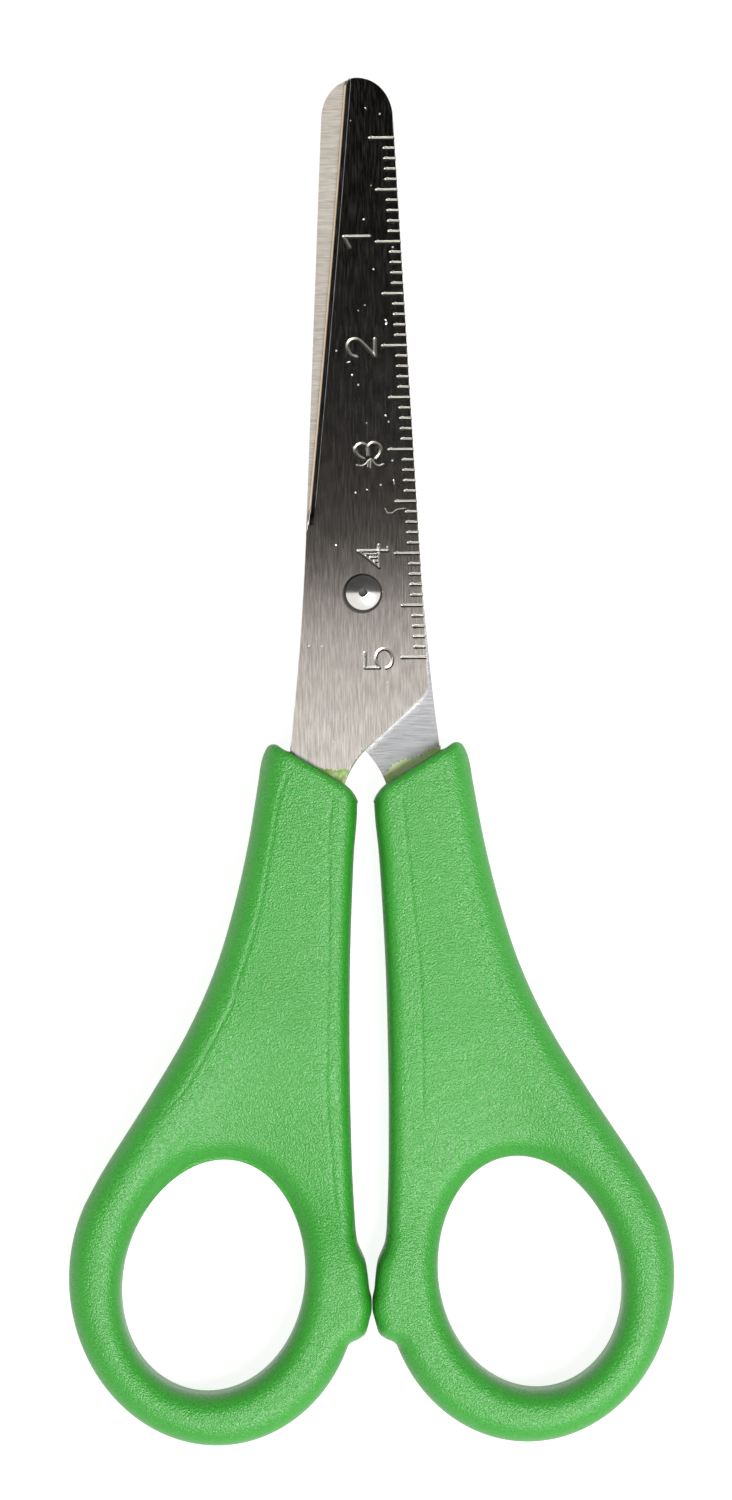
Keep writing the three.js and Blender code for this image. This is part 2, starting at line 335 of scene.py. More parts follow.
def mesh_object(name, corners, faces, half, smooth_angle=40):
    mesh = bpy.data.meshes.new(name)
    mesh.from_pydata(half_points(corners, half).tolist(), [], [tuple(map(int, f)) for f in faces])
    mesh.validate()
    mesh.shade_smooth()
    mesh.set_sharp_from_angle(angle=math.radians(smooth_angle))
    piece = bpy.data.objects.new(name, mesh)
    bpy.context.scene.collection.objects.link(piece)
    return piece


def lay_uvs(piece):
    """Plan-view texture coordinates, so that brushing has a direction."""
    mesh = piece.data
    layer = mesh.uv_layers.new(name="plan")
    index = np.zeros(len(mesh.loops), int)
    mesh.loops.foreach_get("vertex_index", index)
    place = np.zeros(3 * len(mesh.vertices))
    mesh.vertices.foreach_get("co", place)
    layer.data.foreach_set("uv", (place.reshape(-1, 3)[index, :2] * 10).ravel())


# ---------------------------------------------------------------- blade

SPINE_OUT = 5.72                  # the blade's back at the pivot's height,
SPINE_LEAN = 0.049                # and how much it leans in towards the tip
GROOVE_ROWS = np.array([-1.35, -1, -0.67, -0.33, 0, 0.33, 0.67, 1, 1.35])    # in half widths


def spine_x(y):
    return SPINE_OUT - SPINE_LEAN * y


def spine_line(low, high):
    """The blade's back, with points wherever a tick runs out over it."""
    across = GROOVE_ROWS * TICK_HALF_WIDTH
    heights = np.sort((ZERO_TICK_HEIGHT - np.arange(TICK_COUNT)[:, None] + across).ravel())
    heights = np.concatenate([[low], heights[(heights > low + 0.1) & (heights < high - 0.1)], [high]])
    return np.column_stack([spine_x(heights), heights])


def cutting_edge(step):
    return bend((-1.2, 48.9), (-3.1, 27.1), (-5.32, HEEL_HEIGHT), step)


def blade_loop():
    """The blade's plan: tip and back, diagonal end, then the tang inside the handle."""
    foot = TIP_HEIGHT - TIP_RISE
    angle = np.linspace(0, 0.57 * math.pi, 40)
    tip = np.column_stack([TIP_HALF_WIDTH * np.cos(angle), foot + TIP_RISE * np.sin(angle)])
    corner = bend((spine_x(-8.7), -8.7), (spine_x(-9.5), -9.5), (5.75, -10), 0.3)[::-1]
    crotch = bend((0.35, -14.85), (-1.2, -16.3), (-1.95, -18.3), 0.4)[::-1]
    spine = spine_line(corner[-1][1], tip[0][1])
    diagonal = spaced([crotch[-1], corner[0]], 0.5)
    angle = np.linspace(math.pi, 2 * math.pi, 16)
    tang_foot = TANG_FOOT + TANG_RADIUS * np.column_stack([np.cos(angle), np.sin(angle)])
    outer_side = bend((-5.44, 5.9), (-5.95, -4.5), (-7.2, -15), 0.5)
    return chain(corner, spine, tip, cutting_edge(EDGE_STEP), outer_side, tang_foot,
                 [TANG_INNER], crotch, diagonal)


def tick_lines():
    """The ruler's lines, which run out over the spine."""
    lines = []
    for index in range(TICK_COUNT):
        kind = "centimetre" if index % 10 == 0 else "five" if index % 5 == 0 else "millimetre"
        y = ZERO_TICK_HEIGHT - index
        outer = spine_x(y)
        lines.append(np.array([(outer - TICK_LENGTH[kind] + TICK_HALF_WIDTH, y), (outer + TICK_RUN_OUT, y)]))
    return lines


# Pen strokes of the numbers, as (along the reading direction, up from the foot).
DIGIT_STROKES = {
    1: [[(0.55, 0.1), (0.55, 2.6)], [(0.55, 2.6), (-0.5, 2.05)]],
    2: [[(-1.05, 1.9), (-0.8, 2.5), (-0.1, 2.8), (0.5, 2.6), (0.7, 2.05), (0.4, 1.45), (-1, 0.15)],
        [(-1, 0.15), (0.7, 0.15)]],
    3: [[(-0.85, 1.8), (-0.55, 2.3), (-0.05, 2.6), (0.4, 2.45), (0.62, 2.03), (0.48, 1.58), (0.29, 1.38)],
        [(0.29, 1.38), (0.59, 1.16), (0.69, 0.81), (0.52, 0.36), (0.1, 0.13), (-0.43, 0.24), (-0.85, 0.62)],
        [(0.29, 1.38), (-0.51, 1.35)]],
    4: [[(0.3, 0), (0.3, 2.85)], [(0.3, 2.85), (-1.3, 0.85)], [(-1.3, 0.85), (0.85, 0.85)],
        [(0, 2.1), (0, 1.1)], [(-0.35, 1.65), (-0.35, 1.1)], [(-0.7, 1.3), (-0.75, 1.1)]],
    5: [[(0.5, 2.75), (-0.95, 2.75)], [(-0.95, 2.75), (-0.95, 1.35)],
        [(-0.9, 1.4), (-0.25, 1.7), (0.5, 1.55), (0.85, 1), (0.65, 0.4), (0, 0.1), (-0.7, 0.25),
         (-1, 0.7)]],
}


# The 3 was struck twice, and this much of the fainter strike shows.
GHOST_STROKES = {3: [[(-1.42, 2.49), (-1.5, 2.03), (-1.35, 1.65), (-0.85, 1.12), (-1.27, 0.74),
                      (-1.5, 0.36), (-1.35, -0.1)], [(-1.1, 1.35), (-1.6, 1.4)], [(-1, 1.12), (-1.7, 1.15)]]}


def digit_lines(digits):
    lines = []
    for number, strokes in digits.items():
        y = ZERO_TICK_HEIGHT - 10 * number
        foot_x = spine_x(y) - TICK_LENGTH["centimetre"] - DIGIT_GAP - DIGIT_DRIFT * number
        for stroke in strokes:
            points = np.array([(foot_x - up, y + along) for along, up in stroke])
            lines.append(points if len(points) == 2 else smooth(points, 0.1))
    return lines


def groove(points, lines, half_width, depth):
    """Depth of round-bottomed grooves along lines."""
    result = np.zeros(len(points))
    for line in lines:
        near = np.all((points > line.min(0) - half_width) & (points < line.max(0) + half_width), axis=1)
        if near.any():
            share = np.clip(distance(points[near], line) / half_width, 0, 1)
            result[near] = np.maximum(result[near], depth * np.cos(share * math.pi / 2) ** 2)
    return result


def groove_points(lines, half_width, step):
    """Points along and across grooves, with a guard row outside them that stays flat."""
    across = GROOVE_ROWS * half_width
    found = []
    for line in lines:
        path = spaced(line, step)
        found.append(beside(path, across))
        for end in (path[0], path[-1]):
            found += [circle(end, radius * half_width, 10) for radius in (0.5, 1, 1.35)]
    return np.vstack(found)


OUTER, SHEAR, EDGE, STAMPED, BLANKED = range(5)       # the blade's material slots
# How level a face is: the height of its normal, which is 1 where the face lies flat.
EXACTLY_LEVEL = 0.99999
LEVEL = 0.9999
NEARLY_LEVEL = 0.9
STEEP = 0.3
UPRIGHT = 0.1


def blade_edges():
    """The blade's outline, and the part of it that is its diagonal end."""
    loop = blade_loop()
    diagonal = loop[(loop[:, 1] < -9.9) & (loop[:, 1] > -18) & (loop[:, 0] > -1.9)]
    return loop, diagonal[np.argsort(diagonal[:, 0])]


def struck_marks():
    """The ruler and the rivet's seat: (lines, half width, depth, step along the lines)."""
    seat = [circle(SEAT_CENTRE, SEAT_RADIUS, 60)]
    return [(digit_lines(GHOST_STROKES), 0.45 * DIGIT_HALF_WIDTH, 0.15 * TICK_DEPTH, 0.12),
            (tick_lines(), TICK_HALF_WIDTH, TICK_DEPTH, 0.25),
            (digit_lines(DIGIT_STROKES), DIGIT_HALF_WIDTH, TICK_DEPTH, 0.12),
            (seat, SEAT_HALF_WIDTH, SEAT_DEPTH, 0.2)]


def worn_marks():
    """Marks of use, in the same form."""
    dents = [spaced(line, 0.1) for line in DENTS]
    return [([spaced(SCRATCH, 0.1)], SCRATCH_HALF_WIDTH, SCRATCH_DEPTH, 0.1),
            (dents, SCRATCH_HALF_WIDTH, DENT_DEPTH, 0.1)]


def blade_points(loops, edge, marks):
    """The faces' inner points: rows along the bevel, the rim and every groove."""
    bevel = beside(edge, [*GRIND_ROWS[1:], GRIND_ROWS[-1] + 0.15])
    found = [bevel, rings(loops[:1], [EDGE_BREAK, SHEARED_EDGE]), grid(loops, 1.5, 0.8)]
    found += [groove_points(lines, half_width, step) for lines, half_width, _, step in marks]
    points = thinned(np.vstack(found), 0.03)
    points = points[inside(points, loops)]
    gaps = np.min([distance(points, other, closed=True) for other in loops], axis=0)
    return points[gaps > 0.03]


def blade(name, half, stamped):
    """One blade with its tang. The front one is stamped with the ruler."""
    loop, diagonal = blade_edges()
    rivet_hole = circle((0, 0), SHANK_RADIUS + SHANK_CLEARANCE, 40)[::-1]
    anchor_hole = circle(ANCHOR_CENTRE, ANCHOR_RADIUS, 40)[::-1]
    loops = [loop, rivet_hole, anchor_hole]
    edge = cutting_edge(EDGE_STEP)
    struck, worn = (struck_marks(), worn_marks()) if stamped else ([], [])
    marks = struck + worn

    def top(points):
        fade = np.clip((points[:, 1] - HEEL_HEIGHT + 0.3) / HEEL_FADE, 1e-3, 1)
        drop = fade * np.interp(distance(points, edge) / fade, GRIND_ROWS, GRIND_DROPS)
        rim = distance(points, loop, closed=True)
        drop = np.maximum(drop, EDGE_BREAK * np.clip(1 - rim / EDGE_BREAK, 0, 1))
        sheared = np.clip(1 - distance(points, diagonal) / SHEARED_EDGE, 0, 1)
        drop = np.maximum(drop, 0.6 * SHEARED_EDGE * sheared)
        for lines, half_width, depth, _ in marks:
            drop = drop + groove(points, lines, half_width, depth)
        return BLADE_TOP - drop

    def bottom(points):
        return np.full(len(points), float(BLADE_CLEARANCE))

    corners, faces = slab(loops, blade_points(loops, edge, marks), top, bottom)
    piece = mesh_object(name, corners, faces, half, smooth_angle=6)
    lay_uvs(piece)
    sort_blade_faces(piece.data.polygons, half, struck)
    return piece


def sort_blade_faces(faces, half, struck):
    """Give the shear face, the upright sides, the cutting edge and the grooves their own steel."""
    middles = half_points_back(np.array([face.center for face in faces]), half)
    levels = np.abs([face.normal.z for face in faces])
    stamped = np.zeros(len(faces), bool)
    for lines, half_width, _, _ in struck:
        stamped |= groove(middles[:, :2], lines, 1.1 * half_width, 1) > 1e-3
    slots = np.where(stamped & (levels < LEVEL) & (levels > STEEP), STAMPED, OUTER)
    slots[(levels > NEARLY_LEVEL) & (middles[:, 2] < BLADE_TOP / 2)] = SHEAR
    slots[levels < UPRIGHT] = BLANKED
    sharpened = (middles[:, 0] < -1) & (middles[:, 1] > 0.6 * HEEL_HEIGHT)
    slots[(middles[:, 2] < BLADE_TOP - 0.5 * GRIND_DROPS[1]) & (slots != SHEAR) & sharpened] = EDGE
    faces.foreach_set("material_index", slots.astype(np.int32))
    faces.foreach_set("use_smooth", levels < EXACTLY_LEVEL)


# ---------------------------------------------------------------- handle

# The bar's sides run on past the collar here, so that the rounding along them does too.
BAR_OUTER = [(9.3, -8), (9.72, -14.5), (10, -16.2), (10.3, -18), (11.36, -24), (12.78, -30),
             (14.67, -36), (17.41, -42), (21, -48), (24.9, -54), (26.15, -56)]
# From the loop up over the stop, where the two handles touch, and along the bar.
INNER_SIDE = [(2.05, -72.1), (1.75, -71.95), (1.35, -71.8), (0.68, -71.3), (0.42, -70.6), (0.22, -69.8),
              (0.06, -69.2), (0.02, -68.5), (0.07, -67.9), (0.24, -67.2), (0.37, -65.9), (0.58, -64.5),
              (0.93, -63.6), (1.3, -62.7), (1.47, -61.6), (1.55, -60.2), (1.7, -57), (1.78, -54),
              (1.85, -46), (1.71, -36), (1.25, -26), (0.8, -20), (0.7, -8)]
COLLAR_SLOPE = [(0.75, -20.1), (0.95, -19.6), (1.4, -18.95), (2, -18.4), (7.3, -15.2)]
COLLAR_LIP = [(7.3, -15.2), (7.75, -15.05), (8.2, -14.75), (8.6, -14.5), (9.05, -14.5),
              (9.4, -14.75), (9.7, -15.3), (10, -16.2), (10.3, -18)]
LIP_END = 7                       # points of the lip that belong to the bar's outer side
# Fine lines that frame the bar's panel. The inner one differs between the two faces.
OUTER_LINE = [(7.5, -17.4), (8.3, -19.7), (8.9, -22.9), (9.5, -26.3), (10.2, -29.8), (11.1, -33.1),
              (11.8, -35.2), (12.6, -37.5), (13.3, -39.8), (17.3, -46.9), (19.05, -48.9), (20.2, -49.7)]
INNER_LINE_FRONT = [(3.14, -19.8), (3.57, -22.6), (3.67, -30.8), (4, -42.4), (4.12, -48.6), (3.75, -53.7),
                    (3.45, -58.3), (2.9, -60.2), (2, -61.2)]
INNER_LINE_BACK = [(3.48, -19.9), (3.8, -23.4), (4.1, -26.6), (4.51, -31.5), (4.92, -35.5),
                   (5.1, -40.2), (5.1, -48.7), (5.05, -51.5)]


def rounding(gap, reach):
    """Rounded profile, which eases into the flat: 0 at an edge, 1 at its reach and beyond."""
    share = np.clip(gap / reach, 0, 1)
    return np.sqrt(1 - (1 - share) ** 2.4)


def eased(value, low, high):
    """Smooth step from 0 at low to 1 at high."""
    share = np.clip((value - low) / (high - low), 0, 1)
    return share * share * (3 - 2 * share)


def handle_loops(outer, inner):
    """The plan of the plastic and of its finger opening, and the collar's end."""
    collar = np.vstack([spaced(on_left(COLLAR_SLOPE), 0.3), smooth(on_left(COLLAR_LIP), 0.2)])
    outer = outer[outer[:, 1] < COLLAR_LIP[-1][1] - 0.1]
    inner = inner[inner[:, 1] < COLLAR_SLOPE[0][1] - 0.1]
    opening = oval(**OPENING, start=0, end=2 * math.pi, step=0.5)[:-1]
    return [chain(outer, inner, collar), opening], collar[:-LIP_END]


# How a handle's faces lie. Each pair is where a change begins and ends: heights for the
# rounding, the dish and the crown, and distances in from the outer side for the margin.
ROUND_BLEND = (-60, -46)
DISH_BLEND = (-66, -57)
CROWN_BLEND = (-62, -54)
DISH_MARGIN = (2.4, 7)
CROWN_REACH = 6                   # the crown takes in this much from either side
CUT_EASE = 1.5                    # where the face has risen by this, cuts have their full depth


def edge_rise(from_outer, from_inner, from_opening, y):
    """How far a face stands above the upright side, rounded off towards every edge."""
    outer_reach = LOOP_ROUND + (BAR_ROUND - LOOP_ROUND) * eased(y, *ROUND_BLEND)
    pull = from_outer ** 3 / (from_outer ** 3 + from_inner ** 3 + 1e-9)
    reach = outer_reach + (INNER_ROUND - outer_reach) * pull
    side = rounding(np.minimum(from_outer, from_inner), reach)
    shape = side * rounding(from_opening, OPENING_ROUND)
    return (HANDLE_HALF - SIDE_HALF) * shape


def face_cut(from_outer, from_inner, from_opening, y, dish_depth):
    """How far the dish and the crown lower a face."""
    dish = np.clip(1 - from_opening / DISH_REACH, 0, 1) ** 2 * eased(from_outer, *DISH_MARGIN)
    off_middle = (np.minimum(from_outer, CROWN_REACH) - np.minimum(from_inner, CROWN_REACH)) / 2
    crown = CROWN * off_middle ** 2
    return dish_depth * dish * eased(y, *DISH_BLEND) + crown * eased(y, *CROWN_BLEND)


def line_cut(points, line):
    """How far a framing line lowers a face."""
    fade = np.clip(np.linalg.norm(points - line[-1], axis=1) / LINE_FADE, 0, 1)
    return fade * groove(points, [line], LINE_HALF_WIDTH, LINE_DEPTH)


def handle_points(loops, lines):
    """The faces' inner points: close together near every edge and along the lines."""
    depths = [0.03, 0.1, 0.22, 0.4, 0.65, 0.95, 1.35, 1.75, 2.15, 2.6]
    across = np.array([-1.5, -1, -0.67, -0.33, 0, 0.33, 0.67, 1, 1.5]) * LINE_HALF_WIDTH
    broad = np.vstack([rings(loops, depths), grid(loops, 0.7, 1.3)])
    from_lines = np.min([distance(broad, line) for line in lines], axis=0)
    fine = [beside(line, across) for line in lines]
    points = thinned(np.vstack([broad[from_lines > 2 * LINE_HALF_WIDTH], *fine]), 0.05)
    points = points[inside(points, loops)]
    gaps = np.min([distance(points, loop, closed=True) for loop in loops], axis=0)
    return points[gaps > 0.02]


def handle(name, half):
    """A handle bar and its finger loop, in one piece."""
    ring = oval(**LOOP, start=0.58, end=-math.pi, step=0.5)
    past_stop = (ring[:, 1] > INNER_SIDE[0][1] - 0.3) & (ring[:, 0] > -4)
    outer = spaced(np.vstack([smooth(on_left(BAR_OUTER), 0.5), ring[~past_stop]]), 0.5)
    inner = smooth(on_left(INNER_SIDE), 0.3)
    loops, collar = handle_loops(outer, inner)
    line_sets = [[smooth(on_left(line), 0.3) for line in (OUTER_LINE, inner_line)]
                 for inner_line in (INNER_LINE_FRONT, INNER_LINE_BACK)]

    def height(points, lines, dish_depth):
        gaps = (distance(points, outer), distance(points, inner),
                distance(points, loops[1], closed=True))
        rise = edge_rise(*gaps, points[:, 1])
        cut = face_cut(*gaps, points[:, 1], dish_depth)
        for line in lines:
            cut = cut + line_cut(points, line)
        cut = cut + COLLAR_ROUND * (1 - rounding(distance(points, collar), COLLAR_ROUND))
        return SIDE_HALF + rise - cut * np.clip(rise / CUT_EASE, 0, 1)

    def top(points):
        return height(points, line_sets[0], DISH_DEPTHS[0])

    def bottom(points):
        return -height(points, line_sets[1], DISH_DEPTHS[1])

    corners, faces = slab(loops, handle_points(loops, line_sets[0] + line_sets[1][1:]), top, bottom)
    return mesh_object(name, corners, faces, half, smooth_angle=50)


# Thin skins of plastic that leaked over the steel at the collar: their ragged crests, and
# their feet under the collar.
FRONT_FILM = [(4.7, -16.78), (4.1, -16.85), (3.5, -16.95), (2.9, -17.05), (2.3, -16.98), (1.5, -17)]
FRONT_FILM_FOOT = [(1.96, -18.3), (2.2, -18.5), (4.7, -17)]
REAR_FILM = [(7.3, -14.85), (6.6, -15.05), (5.8, -15.45), (5.3, -15.72), (4.74, -15.95), (4.2, -16),
             (3.6, -16.15), (3, -16.35), (2.4, -16.9), (1.8, -17.5)]
REAR_FILM_FOOT = [(1.98, -18.3), (2.2, -18.5), (7.3, -15.4)]


def film(name, half, crest, foot, low):
    """A skin that lies on the blade at the height low, and thins towards its crest."""
    line = smooth(on_left(crest), 0.12)
    wave = np.arange(len(line))
    ripple = FILM_RAGGEDNESS * (np.sin(1.7 * wave) + 0.7 * np.sin(0.61 * wave + 1))
    line = line + np.column_stack([0.3 * ripple, ripple])
    loop = chain(line, spaced(on_left(foot), 0.3))[::-1]
    inner = grid([loop], 0.15, 0.06)

    def top(points):
        thick = FILM_THICKNESS * (0.25 + 0.75 * rounding(distance(points, line), 0.8))
        return low + thick * (1 + 0.15 * np.sin(9 * points[:, 0]) * np.sin(7 * points[:, 1]))

    def bottom(points):
        return np.full(len(points), float(low))

    corners, faces = slab([loop], inner, top, bottom)
    return mesh_object(name, corners, faces, half)


# ---------------------------------------------------------------- rivet

def rivet(name):
    """The set rivet, from its rear head's crown to the dimple in its front head."""

    def dome(radius, height, flat, steps):
        """Rows of a spherical cap, from its rim to the radius flat."""
        sphere = (radius ** 2 + height ** 2) / (2 * height)
        rows = np.linspace(radius, flat, steps)
        return [(r, height - sphere + math.sqrt(sphere ** 2 - r ** 2)) for r in rows]

    front = BLADE_TOP + HEAD_GAP
    foot = front + FRONT_HEAD_SKIRT
    rear = dome(REAR_HEAD_RADIUS, REAR_HEAD_HEIGHT, 0, 14)
    cap = dome(FRONT_HEAD_RADIUS, FRONT_HEAD_HEIGHT - FRONT_HEAD_SKIRT, DIMPLE_RADIUS, 14)
    profile = [(r, -front - z) for r, z in rear[::-1]]
    profile += [(SHANK_RADIUS, -front), (SHANK_RADIUS, front), (FRONT_HEAD_RADIUS, front)]
    profile += [(r, foot + z) for r, z in cap]
    rim = foot + cap[-1][1]
    for share in (0.1, 0.3, 0.55, 0.8, 1):
        profile.append((DIMPLE_RADIUS * (1 - share), rim - DIMPLE_DEPTH * rounding(share, 0.55)))
    corners, faces = turned(profile[1:-1], profile[0][1], profile[-1][1], 72)
    return mesh_object(name, corners, faces, "front", smooth_angle=40)


# ---------------------------------------------------------------- materials

class Nodes:
    """Short calls for building a material's node tree."""

    def __init__(self, tree):
        self.tree = tree

    def add(self, kind, inputs=None, **settings):
        node = self.tree.nodes.new(kind)
        for key, value in settings.items():
            setattr(node, key, value)
        for key, value in (inputs or {}).items():
            self.feed(node, key, value)
        return node

    def feed(self, node, key, value):
        """Link another node's output to a socket, or set the socket to a constant."""
        if isinstance(value, bpy.types.NodeSocket):
            self.tree.links.new(value, node.inputs[key])
        else:
            node.inputs[key].default_value = value

    def maths(self, operation, *values):
        return self.add("ShaderNodeMath", dict(enumerate(values)), operation=operation).outputs[0]

    def noise(self, vector, scale, detail=3, rough=0.5):
        inputs = {"Vector": vector, "Scale": scale, "Detail": detail, "Roughness": rough}
        return self.add("ShaderNodeTexNoise", inputs).outputs["Fac"]

    def stretch(self, vector, scale):
        node = self.add("ShaderNodeVectorMath", {0: vector, 1: scale}, operation="MULTIPLY")
        return node.outputs[0]

    def scaled(self, colour, factor):
        scale_socket = 3
        inputs = {0: colour, scale_socket: factor}
        return self.add("ShaderNodeVectorMath", inputs, operation="SCALE").outputs[0]

    def ramp(self, value, low, high, out_low=0.0, out_high=1.0):
        node = self.add("ShaderNodeMapRange", {"Value": value, "From Min": low, "From Max": high,
                                               "To Min": out_low, "To Max": out_high})
        return node.outputs[0]

    def mix(self, factor, first, second):
        factor_socket, first_socket, second_socket, colour_output = 0, 6, 7, 2
        inputs = {factor_socket: factor, first_socket: first, second_socket: second}
        return self.add("ShaderNodeMix", inputs, data_type="RGBA").outputs[colour_output]


def new_material(name):
    material = bpy.data.materials.new(name)
    material.use_nodes = True
    tree = material.node_tree
    tree.nodes.clear()
    nodes = Nodes(tree)
    shader = nodes.add("ShaderNodeBsdfPrincipled")
    nodes.add("ShaderNodeOutputMaterial", {"Surface": shader.outputs[0]})
    place = nodes.add("ShaderNodeTexCoord").outputs["Object"]
    return material, nodes, shader, place


def plastic_material():
    """Spark-grained polypropylene: fine even grain, and a broad unevenness of colour."""
    material, n, shader, place = new_material("green_plastic")
    grain = n.noise(place, 5000, detail=1)
    fine = n.noise(place, 10000, detail=1)
    broad = n.noise(place, 90, detail=2)
    height = n.maths("ADD", grain, n.maths("MULTIPLY", fine, 0.35))
    colour = n.mix(n.ramp(broad, 0.3, 0.7), (0.018, 0.248, 0.012, 1), (0.022, 0.268, 0.016, 1))
    shade = n.ramp(grain, 0.3, 0.7, 0.89, 1.11)
    colour = n.scaled(colour, shade)
    bump = n.add("ShaderNodeBump", {"Height": height, "Strength": 1.0, "Distance": 0.00008})
    n.feed(shader, "Base Color", colour)
    n.feed(shader, "Normal", bump.outputs[0])
    n.feed(shader, "Roughness", n.ramp(grain, 0.3, 0.7, 0.36, 0.44))
    n.feed(shader, "Specular IOR Level", 0.7)
    return material


def film_material(name, thick_colour, thin_colour):
    """The same plastic, so thin that the steel shows through and yellows it."""
    material, n, shader, place = new_material(name)
    patches = n.noise(place, 900, detail=3)
    colour = n.mix(n.ramp(patches, 0.35, 0.65), (*thick_colour, 1), (*thin_colour, 1))
    bump = n.add("ShaderNodeBump", {"Height": patches, "Strength": 1.0, "Distance": 0.0001})
    n.feed(shader, "Base Color", colour)
    n.feed(shader, "Normal", bump.outputs[0])
    n.feed(shader, "Roughness", 0.35)
    return material


def collar_painted_shade(n, parts):
    """Where the collar's shade is painted on the steel: 0 at the collar's slope, 1 a little above it."""
    (near, low), (far, high) = COLLAR_SLOPE[-2:]
    length = math.hypot(far - near, high - low)
    across, up = (high - low) / length, (far - near) / length
    start = (near * across - low * up) * MM - PIVOT.y * up
    inward = n.maths("MULTIPLY", n.maths("ABSOLUTE", parts[0]), -across)
    upward = n.maths("MULTIPLY", parts[1], up)
    gap = n.maths("ADD", n.maths("ADD", inward, upward), start)
    return n.ramp(gap, 0.05 * MM, 0.3 * MM)


DULLEST = 0.016                   # how far the dullest streaks are from a clean metal
# Noise per metre across the blade, along it and through it, for fine and for broad streaks.
STREAKS = {"length": ((7500, 520, 520), (4000, 260, 260)),
           "width": ((600, 6500, 600), (90, 2900, 90))}


def steel_material(name, along, roughness, tip_colour, tang_colour, streak):
    """Brushed steel, with fine lines along the blade's 'length' or 'width'.

    Roughness and colour differ between the tang and the tip."""
    material, n, shader, place = new_material(name)
    fine_scale, broad_scale = STREAKS[along]
    fine = n.noise(n.stretch(place, fine_scale), 1, detail=3, rough=0.6)
    broad = n.noise(n.stretch(place, broad_scale), 1, detail=2)
    parts = n.add("ShaderNodeSeparateXYZ", {0: place}).outputs
    colour = n.mix(n.ramp(parts[1], 0.01, 0.03), (*tang_colour, 1), (*tip_colour, 1))
    shade = n.maths("MULTIPLY", n.ramp(fine, 0.3, 0.7, 1 - streak, 1 + streak),
                    n.ramp(broad, 0.3, 0.7, 1 - 0.2 * streak, 1 + 0.2 * streak))
    # Painted shade: the steel is painted up to 55 per cent darker next to the collar's slope, as the
    # collar's shade.
    shade = n.maths("MULTIPLY", shade, n.ramp(collar_painted_shade(n, parts), 0, 1, 0.45, 1))
    colour = n.scaled(colour, shade)
    dots = n.add("ShaderNodeTexVoronoi", {"Vector": place, "Scale": 550}).outputs["Distance"]
    dust = n.ramp(dots, 0.03, 0.06, 1, 0)
    n.feed(shader, "Base Color", n.mix(dust, colour, (0.5, 0.5, 0.48, 1)))
    dull = n.ramp(fine, 0.46, 0.68, 0, DULLEST)
    n.feed(shader, "Metallic", n.maths("SUBTRACT", 1.0, n.maths("MAXIMUM", dust, dull)))
    bump = n.add("ShaderNodeBump", {"Height": fine, "Strength": 0.3, "Distance": 0.000003})
    n.feed(shader, "Normal", bump.outputs[0])
    n.feed(shader, "Roughness", n.ramp(parts[1], 0.008, 0.03, *roughness))
    n.feed(shader, "Anisotropic", 1.0)
    n.feed(shader, "Anisotropic Rotation", 0.0 if along == "length" else 0.25)
    tangent = n.add("ShaderNodeTangent", direction_type="UV_MAP", uv_map="plan")
    n.feed(shader, "Tangent", tangent.outputs[0])
    return material


def edge_straw_and_painted_shade_material():
    """The cutting edge: pale straw at the shear face, then dark brown above it, which is painted shade of
    the gap between the blades.
    """
    material, n, shader, place = new_material("ground_edge")
    patches = n.noise(n.stretch(place, (200, 700, 200)), 1, detail=2)
    parts = n.add("ShaderNodeSeparateXYZ", {0: place}).outputs
    above = n.maths("ABSOLUTE", n.maths("SUBTRACT", parts[2], PIVOT.z))
    straw = n.mix(n.ramp(patches, 0.3, 0.7), (0.95, 0.72, 0.46, 1), (1, 0.86, 0.66, 1))
    # Painted shade: the edge's upper part is painted dark brown, as the shade in the gap along the blades.
    straw_then_painted_shade = n.mix(n.ramp(above, 0.35 * MM, 0.5 * MM), straw, (0.26, 0.17, 0.11, 1))
    n.feed(shader, "Base Color", straw_then_painted_shade)
    n.feed(shader, "Metallic", 0.2)
    n.feed(shader, "Roughness", 0.5)
    return material


def blanked_material():
    """The blade's upright sides: burnished by the punch, then torn and darker below."""
    material, n, shader, place = new_material("blanked_side")
    tears = n.noise(n.stretch(place, (3000, 3000, 500)), 1, detail=3)
    parts = n.add("ShaderNodeSeparateXYZ", {0: place}).outputs
    above = n.maths("ABSOLUTE", n.maths("SUBTRACT", parts[2], PIVOT.z))
    border = n.maths("ADD", above, n.ramp(tears, 0.3, 0.7, -0.15 * MM, 0.15 * MM))
    burnished = n.ramp(border, 0.85 * MM, 0.95 * MM)
    torn = n.mix(n.ramp(tears, 0.3, 0.7), (0.16, 0.155, 0.15, 1), (0.28, 0.27, 0.26, 1))
    n.feed(shader, "Base Color", n.mix(burnished, torn, (0.42, 0.41, 0.39, 1)))
    n.feed(shader, "Roughness", n.ramp(burnished, 0, 1, 0.6, 0.35))
    bump = n.add("ShaderNodeBump", {"Height": tears, "Strength": 0.6, "Distance": 0.00002})
    n.feed(shader, "Normal", bump.outputs[0])
    n.feed(shader, "Metallic", 1)
    return material


